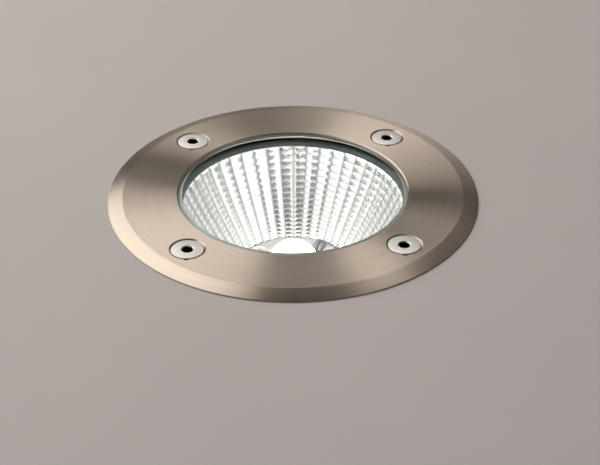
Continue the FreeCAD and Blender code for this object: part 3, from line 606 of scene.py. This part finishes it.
SKINS = (
    # slot, name, dark tone, light tone, roughness, grains per metre, relief in mm, other values
    ("silicone_rubber", "silicone rubber",
     (0.120, 0.140, 0.132), (0.180, 0.205, 0.195), 0.50, 3500.0, 0.010, {}),
    ("cast_aluminium", "cast aluminium",
     (0.36, 0.37, 0.38), (0.52, 0.53, 0.54), 0.42, 2200.0, 0.030, {"patch": 45.0, "Metallic": 0.9}),
    ("reflector_back", "reflector rim and back",
     (0.30, 0.335, 0.32), (0.42, 0.455, 0.44), 0.45, 2600.0, 0.010, {"Metallic": 0.3}),
    ("board_white", "white solder mask",
     (0.50, 0.49, 0.48), (0.62, 0.61, 0.59), 0.35, 2500.0, 0.006, {"patch": 150.0}),
    ("pad_grey", "heat pad",
     (0.30, 0.31, 0.33), (0.42, 0.43, 0.45), 0.70, 2500.0, 0.010, {}),
    ("lead_insulation", "lead insulation",
     (0.11, 0.12, 0.125), (0.17, 0.18, 0.19), 0.40, 2500.0, 0.004, {}),
    ("driver_plastic", "driver plastic",
     (0.66, 0.66, 0.63), (0.78, 0.78, 0.75), 0.50, 2600.0, 0.020, {}),
    ("board_green", "green solder mask",
     (0.03, 0.15, 0.07), (0.06, 0.22, 0.11), 0.35, 1800.0, 0.006, {}),
    ("component_black", "moulded component",
     (0.02, 0.02, 0.022), (0.05, 0.05, 0.055), 0.40, 2400.0, 0.010, {}),
    ("terminal_plastic", "terminal plastic",
     (0.70, 0.69, 0.62), (0.80, 0.79, 0.73), 0.42, 2400.0, 0.010, {}),
    ("brass", "brass",
     (0.50, 0.36, 0.14), (0.72, 0.56, 0.28), 0.28, 3500.0, 0.006, {"Metallic": 1.0}),
    ("gland_nylon", "gland nylon",
     (0.030, 0.030, 0.032), (0.055, 0.055, 0.058), 0.42, 2600.0, 0.020, {}),
    ("sleeve_plastic", "sleeve plastic",
     (0.048, 0.049, 0.051), (0.088, 0.090, 0.093), 0.48, 1600.0, 0.050,
     {"patch": 30.0, "dust": (0.20, 0.19, 0.17)}),
)
materials = {
    "bezel_steel": turned_metal(
        "brushed bezel steel", (0.535, 0.435, 0.346), (0.648, 0.536, 0.433),
        roughness=0.31, grooves=12000.0, depth=0.002 * MM, anisotropy=1.0, spread=0.05,
    ),
    "screw_steel": turned_metal(
        "screw steel", (0.80, 0.735, 0.670), (0.95, 0.885, 0.820),
        roughness=0.46, grooves=7000.0, depth=0.004 * MM, spread=0.12,
        attribute="own_place", painted_shade_mask="socket",
    ),
    "clear_glass": clear_glass(),
    "ground_edge": ground_edge(),
    "reflector_silver": mirror_cells(),
    "lit_silicone": lit_silicone(),
}
for slot, name, dark, light, roughness, grain, relief, more in SKINS:
    materials[slot] = skinned(name, dark, light, roughness, grain, relief * MM, **more)


# ---------------------------------------------------------------- bezel
def make_bezel():
    """The brushed ring: flat top, bevelled edge, countersinks and their drain notches."""
    outline = rounded([
        (opening_radius, bezel_underside, 0.0),
        (land_radius, bezel_underside, 0.0),
        (land_radius, 0.0, 0.0),
        (bezel_radius, 0.0, 0.0),
        (bezel_radius, bezel_edge_height, bezel_foot_round),
        (bevel_inner_radius, bezel_top, bevel_crest_round),
        (opening_radius + opening_chamfer, bezel_top, 0.0),
        (opening_radius, bezel_top - opening_chamfer, 0.0),
    ])
    bezel = as_object("bezel", turned(outline, bezel_segments))
    mouth = head_radius + head_gap
    cutters = []
    for index in range(screw_count):
        angle = screw_turn + FULL_TURN * index / screw_count
        place = Vector((screw_circle * math.cos(angle), screw_circle * math.sin(angle), 0.0))
        sink = turned([
            (0.0, bezel_top - mouth + hole_radius),
            (hole_radius, bezel_top - mouth + hole_radius),
            (mouth, bezel_top),
            (mouth, bezel_top + MM),
            (0.0, bezel_top + MM),
        ], screw_segments)
        lip = turned([
            (0.0, bezel_top - countersink_lip),
            (mouth, bezel_top - countersink_lip),
            (mouth + 2 * countersink_lip, bezel_top + countersink_lip),
            (0.0, bezel_top + countersink_lip),
        ], screw_segments)
        notch = bmesh.new()
        bmesh.ops.create_cube(notch, size=1.0)
        bmesh.ops.scale(notch, vec=(notch_width, 2 * notch_reach, 2 * notch_depth), verts=notch.verts)
        bmesh.ops.translate(notch, vec=(0.0, -mouth, bezel_top), verts=notch.verts)
        for part in (sink, lip, notch):
            bmesh.ops.translate(part, vec=place, verts=part.verts)
            cutters.append(as_object("cutter", part))
    cut(bezel, cutters)
    smooth(bezel, degrees=28)
    return finish_piece(bezel, "bezel", "bezel_steel", "bezel_ring")


def make_ring_of_copies():
    """A tree that sets copies of one object round Z, each turned outward and by a random turn of its own."""
    tree, give, take, sums = new_tree(
        "ring of copies", "GeometryNodeTree",
        [("Copy", OBJECT), ("Count", INTEGER), ("Radius", FLOAT), ("Turn", FLOAT), ("Own turn", FLOAT),
         ("Seed", INTEGER), ("Finish", MATERIAL)],
        [("Geometry", GEOMETRY)],
    )
    nodes, links = tree.nodes, tree.links
    info = nodes.new("GeometryNodeObjectInfo")
    links.new(give["Copy"], info.inputs["Object"])
    points = nodes.new("GeometryNodePoints")
    links.new(give["Count"], points.inputs["Count"])
    index = nodes.new("GeometryNodeInputIndex").outputs[0]
    share = sums.do("DIVIDE", index, give["Count"])
    angle = sums.do("ADD", sums.do("MULTIPLY", share, FULL_TURN), give["Turn"])
    place = sums.vector(
        sums.do("MULTIPLY", sums.do("COSINE", angle), give["Radius"]),
        sums.do("MULTIPLY", sums.do("SINE", angle), give["Radius"]),
        0.0,
    )
    links.new(place, points.inputs["Position"])
    random = nodes.new("FunctionNodeRandomValue")
    random.data_type = "FLOAT"
    links.new(give["Seed"], random.inputs["Seed"])
    own = sums.do("MULTIPLY", random.outputs[1], give["Own turn"])
    spin = nodes.new("GeometryNodeInstanceOnPoints")
    links.new(points.outputs[0], spin.inputs["Points"])
    links.new(info.outputs["Geometry"], spin.inputs["Instance"])
    links.new(sums.vector(0.0, 0.0, sums.do("ADD", angle, own)), spin.inputs["Rotation"])
    real = nodes.new("GeometryNodeRealizeInstances")
    links.new(spin.outputs[0], real.inputs[0])
    paint = nodes.new("GeometryNodeSetMaterial")
    links.new(real.outputs[0], paint.inputs["Geometry"])
    links.new(give["Finish"], paint.inputs["Material"])
    links.new(paint.outputs[0], take["Geometry"])
    return tree


RING_OF_COPIES = make_ring_of_copies()


def ring_of(name, single, count, radius, turn, material, own_turn=0.0, seed=0):
    """Copies of a single object set round Z as one mesh. The single object is used up."""
    mesh = single.data
    own = mesh.attributes.new("own_place", "FLOAT_VECTOR", "POINT")
    places = [value for vert in mesh.vertices for value in vert.co]
    own.data.foreach_set("vector", places)
    thing = bpy.data.objects.new(name, bpy.data.meshes.new(name))
    bpy.context.scene.collection.objects.link(thing)
    run_tree(thing, RING_OF_COPIES, {
        "Copy": single, "Count": count, "Radius": radius, "Turn": turn, "Own turn": own_turn,
        "Seed": seed, "Finish": material,
    })
    drop(single)
    return thing


def make_bezel_screws():
    """Countersunk screws with a rounded head edge and a chamfered hexagon socket, painted dark inside as
    shade.
    """
    neck = screw_top - (head_radius - shank_radius)
    outline = rounded([
        (0.0, screw_bottom, 0.0),
        (shank_radius, screw_bottom, shank_end_round),
        (shank_radius, neck, 0.0),
        (head_radius, screw_top, head_edge_round),
        (0.0, screw_top, 0.0),
    ])
    single = as_object("single screw", turned(outline, screw_segments))
    socket = prism(6, socket_width, screw_top - socket_depth, screw_top + MM)
    mouth_radius_at_top = socket_width / 2 / math.cos(math.pi / 6)
    chamfer = turned([
        (0.0, screw_top - socket_chamfer),
        (mouth_radius_at_top - socket_chamfer / 2, screw_top - socket_chamfer),
        (mouth_radius_at_top + socket_chamfer / 2, screw_top),
        (mouth_radius_at_top + 3 * socket_chamfer / 2, screw_top + socket_chamfer),
        (0.0, screw_top + socket_chamfer),
    ], chamfer_segments)
    cut(single, [as_object("cutter", socket), as_object("cutter", chamfer)])
    # Marks the faces inside the socket for the painted shade.
    lowest = screw_top - socket_depth - socket_slack
    inside = single.data.attributes.new("socket", "FLOAT", "FACE")
    for face, value in zip(single.data.polygons, inside.data):
        in_height = lowest < face.center.z < screw_top - socket_chamfer
        value.value = 1.0 if in_height and face.center.xy.length < mouth_radius_at_top else 0.0
    screws = ring_of(
        "bezel_screws_turned", single, screw_count, screw_circle, screw_turn, materials["screw_steel"],
        own_turn=FULL_TURN, seed=screw_seed,
    )
    smooth(screws, degrees=32)
    return finish_piece(screws, "bezel", "screw_steel", "bezel_screws")


# ---------------------------------------------------------------- glass and gasket
def make_glass():
    """Stepped toughened glass: clear faces, and ground edges on the step, the flange and the chamfers."""
    outline = [
        (0.0, glass_bottom),
        (glass_flange_radius - glass_chamfer, glass_bottom),
        (glass_flange_radius, glass_bottom + glass_chamfer),
        (glass_flange_radius, glass_step_height),
        (glass_step_radius, glass_step_height),
        (glass_step_radius, glass_top - glass_top_chamfer),
        (glass_step_radius - glass_top_chamfer, glass_top),
        (0.0, glass_top),
    ]
    glass = as_object("glass", turned(outline, glass_segments))
    smooth(glass, degrees=25)
    finish_piece(glass, "bezel", "clear_glass", "glass_lens")
    glass.data.materials.append(materials["ground_edge"])
    for face in glass.data.polygons:
        if abs(face.normal.z) < level_face or face.center.xy.length > glass_step_radius:
            face.material_index = 1
    return glass


def make_gasket():
    """The U-section silicone ring round the glass flange."""
    outline = rounded([
        (gasket_upper_inner, glass_step_height, 0.0),
        (glass_flange_radius, glass_step_height, 0.0),
        (glass_flange_radius, glass_bottom, 0.0),
        (gasket_lower_inner, glass_bottom, 0.0),
        (gasket_lower_inner, gasket_bottom, gasket_round),
        (gasket_radius, gasket_bottom, gasket_round),
        (gasket_radius, gasket_top, gasket_round),
        (gasket_upper_inner, gasket_top, gasket_round),
    ])
    gasket = as_object("gasket", turned(outline, gasket_segments))
    smooth(gasket, degrees=35)
    return finish_piece(gasket, "bezel", "silicone_rubber", "glass_gasket")


# ---------------------------------------------------------------- reflector
def make_cell_tree():
    """A tree that lays pillow-shaped mirror cells on a paraboloid, in rows that shorten downwards."""
    tree, give, take, sums = new_tree(
        "mirror cells", "GeometryNodeTree",
        [("Columns", INTEGER), ("Rows", INTEGER), ("Steps", INTEGER), ("Row ratio", FLOAT),
         ("Mouth radius", FLOAT), ("Throat radius", FLOAT), ("Top", FLOAT), ("Depth", FLOAT),
         ("Side tilt", FLOAT), ("End tilt", FLOAT), ("Finish", MATERIAL)],
        [("Geometry", GEOMETRY)],
    )
    nodes, links, do, mix = tree.nodes, tree.links, sums.do, sums.mix
    columns, rows, ratio = give["Columns"], give["Rows"], give["Row ratio"]
    grid = nodes.new("GeometryNodeMeshGrid")
    grid.inputs["Size X"].default_value = 1.0
    grid.inputs["Size Y"].default_value = 1.0
    links.new(do("ADD", do("MULTIPLY", columns, give["Steps"]), 1.0), grid.inputs["Vertices X"])
    links.new(do("ADD", do("MULTIPLY", rows, give["Steps"]), 1.0), grid.inputs["Vertices Y"])
    across, down = sums.parts(nodes.new("GeometryNodeInputPosition").outputs[0])[:2]
    column = do("MULTIPLY", do("ADD", across, 0.5), columns)
    row = do("MULTIPLY", do("SUBTRACT", 0.5, down), rows)
    first_column = do("FLOOR", column)
    first_row = do("FLOOR", row)
    share_x = do("SUBTRACT", column, first_column)
    share_y = do("SUBTRACT", row, first_row)

    def level(number):
        """Height and radius of the line between rows that has this number."""
        gone = do("DIVIDE", do("SUBTRACT", 1.0, do("POWER", ratio, number)),
                  do("SUBTRACT", 1.0, do("POWER", ratio, rows)))
        mouth_square = do("POWER", give["Mouth radius"], 2.0)
        throat_square = do("POWER", give["Throat radius"], 2.0)
        radius = do("SQRT", mix(gone, mouth_square, throat_square))
        return do("SUBTRACT", give["Top"], do("MULTIPLY", gone, give["Depth"])), radius

    upper_height, upper_radius = level(first_row)
    lower_height, lower_radius = level(do("ADD", first_row, 1.0))
    radius = mix(share_y, upper_radius, lower_radius)
    height = mix(share_y, upper_height, lower_height)
    step = do("DIVIDE", FULL_TURN, columns)
    start = do("MULTIPLY", first_column, step)
    end = do("ADD", start, step)
    middle = do("ADD", start, do("DIVIDE", step, 2.0))
    flat_x = do("MULTIPLY", mix(share_x, do("COSINE", start), do("COSINE", end)), radius)
    flat_y = do("MULTIPLY", mix(share_x, do("SINE", start), do("SINE", end)), radius)

    def crown(share):
        """1 in the middle of a cell and 0 at its edges."""
        offset = do("SUBTRACT", do("MULTIPLY", share, 2.0), 1.0)
        return do("SUBTRACT", 1.0, do("MULTIPLY", offset, offset))

    run = do("SUBTRACT", upper_radius, lower_radius)
    drop_height = do("SUBTRACT", upper_height, lower_height)
    length = do("SQRT", do("ADD", do("MULTIPLY", run, run), do("MULTIPLY", drop_height, drop_height)))
    width = do("MULTIPLY", do("SUBTRACT", end, start), radius)
    from_ends = do("MINIMUM", row, do("SUBTRACT", rows, row))
    held = do("MULTIPLY", from_ends, fade_per_row, clamp=True)
    flute = do("MULTIPLY", do("MULTIPLY", crown(share_x), do("MULTIPLY", width, held)), give["Side tilt"])
    pillow = do("MULTIPLY", do("MULTIPLY", crown(share_y), length), give["End tilt"])
    rise = do("DIVIDE", do("ADD", flute, pillow), 4.0)
    inward = do("MULTIPLY", rise, do("DIVIDE", drop_height, length))
    upward = do("MULTIPLY", rise, do("DIVIDE", run, length))
    place = sums.vector(
        do("SUBTRACT", flat_x, do("MULTIPLY", inward, do("COSINE", middle))),
        do("SUBTRACT", flat_y, do("MULTIPLY", inward, do("SINE", middle))),
        do("ADD", height, upward),
    )
    # The valley mask: rougher and darker with painted shade along the creases between cells.
    edge_x = do("ABSOLUTE", do("SUBTRACT", do("MULTIPLY", share_x, 2.0), 1.0))
    edge_y = do("ABSOLUTE", do("SUBTRACT", do("MULTIPLY", share_y, 2.0), 1.0))
    column_valley = do("POWER", edge_x, column_valley_edge)
    row_valley = do("MULTIPLY", do("POWER", edge_y, row_valley_edge), row_valley_share)
    valley = sums.vector(do("MAXIMUM", column_valley, row_valley), edge_x, edge_y)
    keep = nodes.new("GeometryNodeStoreNamedAttribute")
    keep.data_type = "FLOAT_VECTOR"
    keep.domain = "POINT"
    keep.inputs["Name"].default_value = "valley"
    links.new(grid.outputs["Mesh"], keep.inputs["Geometry"])
    links.new(valley, keep.inputs["Value"])
    move = nodes.new("GeometryNodeSetPosition")
    links.new(keep.outputs[0], move.inputs["Geometry"])
    links.new(place, move.inputs["Position"])
    real = nodes.new("GeometryNodeRealizeInstances")
    links.new(move.outputs[0], real.inputs[0])
    paint = nodes.new("GeometryNodeSetMaterial")
    links.new(real.outputs[0], paint.inputs["Geometry"])
    links.new(give["Finish"], paint.inputs["Material"])
    links.new(paint.outputs[0], take["Geometry"])
    return tree


def reflector_shell():
    """The reflector's rim, curved back and foot, open where the mirror cells close it."""
    outer_mouth = mouth_radius + reflector_wall
    outer_throat = throat_radius + 1.5 * reflector_wall
    throat_back = throat_height + reflector_wall
    outline = [(mouth_radius, reflector_top), (rim_radius, reflector_top), (rim_radius, rim_underside)]
    for index in range(reflector_back_steps + 1):
        share = index / reflector_back_steps
        height = rim_underside + (throat_back - rim_underside) * share
        square = outer_mouth ** 2 + (outer_throat ** 2 - outer_mouth ** 2) * share
        outline.append((math.sqrt(square), height))
    outline += [(foot_radius, throat_height), (foot_radius, reflector_bottom),
                (throat_radius, reflector_bottom), (throat_radius, throat_height)]
    form = bmesh.new()
    count = facet_columns * facet_steps
    rings = []
    for position, (radius, height) in enumerate(outline):
        facetted = position in (0, len(outline) - 1, len(outline) - 2)
        ring = []
        for index in range(count):
            column, step = divmod(index, facet_steps)
            start, end = (FULL_TURN * (column + side) / facet_columns for side in (0, 1))
            angle = FULL_TURN * index / count
            share = step / facet_steps
            x, y = math.cos(angle), math.sin(angle)
            if facetted:
                x = (1 - share) * math.cos(start) + share * math.cos(end)
                y = (1 - share) * math.sin(start) + share * math.sin(end)
            ring.append(form.verts.new((radius * x, radius * y, height)))
        rings.append(ring)
    for lower, upper in zip(rings, rings[1:]):
        for first in range(count):
            second = (first + 1) % count
            form.faces.new((lower[first], lower[second], upper[second], upper[first]))
    return form


def make_reflector():
    """The facetted reflector as one closed mesh: mirror cells inside, plain back outside."""
    cells = as_object("mirror_reflector", bmesh.new())
    run_tree(cells, make_cell_tree(), {
        "Columns": facet_columns, "Rows": facet_rows, "Steps": facet_steps, "Row ratio": facet_row_ratio,
        "Mouth radius": mouth_radius, "Throat radius": throat_radius, "Top": reflector_top,
        "Depth": reflector_top - throat_height, "Side tilt": cell_side_tilt, "End tilt": cell_end_tilt,
        "Finish": materials["reflector_silver"],
    })
    shell = as_object("shell", reflector_shell())
    form = bmesh.new()
    form.from_mesh(cells.data)
    cell_faces = len(cells.data.polygons)
    form.from_mesh(shell.data)
    drop(shell)
    bmesh.ops.remove_doubles(form, verts=form.verts, dist=cell_weld)
    bmesh.ops.recalc_face_normals(form, faces=form.faces)
    form.to_mesh(cells.data)
    form.free()
    smooth(cells, degrees=7)
    finish_piece(cells, "unit", "reflector_silver", "reflector")
    cells.data.materials.append(materials["reflector_back"])
    for face in cells.data.polygons:
        if face.index >= cell_faces:
            face.material_index = 1
    return cells


# ---------------------------------------------------------------- light source
def make_dome():
    """The silicone dome: a hemisphere on a short straight foot."""
    straight = dome_top - dome_radius
    outline = [(0.0, dome_bottom), (dome_radius, dome_bottom), (dome_radius, straight)]
    for index in range(1, dome_steps):
        angle = math.pi / 2 * index / dome_steps
        outline.append((dome_radius * math.cos(angle), straight + dome_radius * math.sin(angle)))
    outline.append((0.0, dome_top))
    dome = as_object("dome", turned(outline, dome_segments))
    smooth(dome, degrees=40)
    return finish_piece(dome, "unit", "lit_silicone", "led_dome")


# ---------------------------------------------------------------- pieces that keep their CAD shape
copy_weld = 1e-6
KEPT_SHAPES = (
    # node, body, edge round in mm
    ("lamp_housing", "unit", 0.25),
    ("base_cover", "unit", 0.25),
    ("ground_sleeve", "ground", 0.25),
    ("sleeve_collar", "ground", 0.25),
    ("gland_body", "unit", 0.2),
    ("gland_nut", "unit", 0.2),
    ("gland_washer", "unit", 0.0),
    ("base_screws", "unit", 0.1),
    ("led_board", "unit", 0.0),
    ("led_board_screws", "unit", 0.0),
)


def make_kept_shapes():
    """Smooth copies of the plainer nodes, most with rounded edges. Returns the slot of every node."""
    slots = {part["node"]: part["material_slot"] for part in frame["record"]["subparts"]}
    for node, body, edge in KEPT_SHAPES:
        piece = copy_of(node, node + "_finished")
        if edge:
            soften(piece, edge * MM)
        smooth(piece, degrees=35)
        finish_piece(piece, body, slots[node], node)
    return slots


def dress_other_nodes(slots):
    """Each CAD node that no piece replaces gets the finish of its slot."""
    for node, thing in frame["nodes"].items():
        if thing.hide_render:
            continue
        thing.data.materials.clear()
        thing.data.materials.append(materials[slots[node]])


# ---------------------------------------------------------------- stage
def make_floor():
    """A pale slab top with a round hole that the light drops into."""
    form = bmesh.new()
    hole, edge = [], []
    for index in range(floor_segments):
        angle = FULL_TURN * index / floor_segments
        way = Vector((math.cos(angle), math.sin(angle)))
        reach_x = (floor_right if way.x > 0 else -floor_left) / max(abs(way.x), NEARLY_ZERO)
        reach_y = (floor_back if way.y > 0 else -floor_front) / max(abs(way.y), NEARLY_ZERO)
        hole.append(form.verts.new((*(way * floor_hole_radius), 0.0)))
        edge.append(form.verts.new((*(way * min(reach_x, reach_y)), 0.0)))
    for first in range(floor_segments):
        second = (first + 1) % floor_segments
        form.faces.new((hole[first], edge[first], edge[second], hole[second]))
    floor = as_object("floor", form)
    material, tree, shader, sums = new_material("pale floor")
    skin = use_group(sums, SKIN, place_on(tree), Grain=1200.0, Patch=12.0)
    tone = sums.ramp(skin["Tone"], 0.3, 0.7)
    sums.feed(shader.inputs["Base Color"], blend_colours(sums, tone, floor_dark, floor_light))
    shader.inputs["Roughness"].default_value = floor_roughness
    floor.data.materials.append(material)


def make_lamps():
    """Round soft lamps at one distance, each facing the light."""
    for name, turn, elevation, size, brightness in LAMPS:
        data = bpy.data.lights.new(name, "AREA")
        data.shape = "DISK"
        data.size = size
        disk_area = math.pi * (size / 2) ** 2
        data.energy = brightness * math.pi * disk_area
        lamp = bpy.data.objects.new(name, data)
        bpy.context.scene.collection.objects.link(lamp)
        around, up = math.radians(turn), math.radians(elevation)
        way = Vector((math.cos(around) * math.cos(up), math.sin(around) * math.cos(up), math.sin(up)))
        lamp.location = way * lamp_distance
        lamp.rotation_euler = way.to_track_quat("Z", "Y").to_euler()


def make_world():
    """A room that is white to the camera, dim to the rest, and bright through glass but for one dark side."""
    world = bpy.data.worlds.new("studio")
    bpy.context.scene.world = world
    world.use_nodes = True
    tree = world.node_tree
    sums = Sums(tree)
    background = tree.nodes["Background"]
    path = tree.nodes.new("ShaderNodeLightPath")
    way = tree.nodes.new("ShaderNodeTexCoord").outputs["Generated"]
    toward = tree.nodes.new("ShaderNodeVectorMath")
    toward.operation = "DOT_PRODUCT"
    sums.feed(toward.inputs[0], way)
    sums.feed(toward.inputs[1], dark_side.normalized())
    dark = sums.ramp(toward.outputs["Value"], math.cos(dark_side_reach), math.cos(dark_side_core))
    through = sums.mix(dark, room_through_glass, dark_side_light)
    strength = sums.mix(path.outputs["Is Glossy Ray"], room_light, room_in_metal)
    strength = sums.mix(path.outputs["Is Transmission Ray"], strength, through)
    strength = sums.mix(path.outputs["Is Camera Ray"], strength, 1.0)
    sums.feed(background.inputs["Color"], room_tone)
    sums.feed(background.inputs["Strength"], strength)


def make_camera():
    """The camera at the photograph's viewing angle."""
    data = bpy.data.cameras.new("camera")
    data.sensor_fit = "HORIZONTAL"
    data.sensor_width = 36.0
    data.lens = camera_lens
    data.clip_start = 0.01
    data.clip_end = 20.0
    camera = bpy.data.objects.new("camera", data)
    bpy.context.scene.collection.objects.link(camera)
    look = (camera_aim - camera_place).to_track_quat("-Z", "Y").to_matrix().to_4x4()
    roll = Matrix.Rotation(camera_roll, 4, "Z")
    camera.matrix_world = Matrix.Translation(camera_place) @ look @ roll
    bpy.context.scene.camera = camera


make_bezel()
make_bezel_screws()
make_glass()
make_gasket()
make_reflector()
make_dome()
dress_other_nodes(make_kept_shapes())
make_floor()
make_lamps()
make_world()
make_camera()
bpy.context.scene.view_settings.view_transform = "Standard"
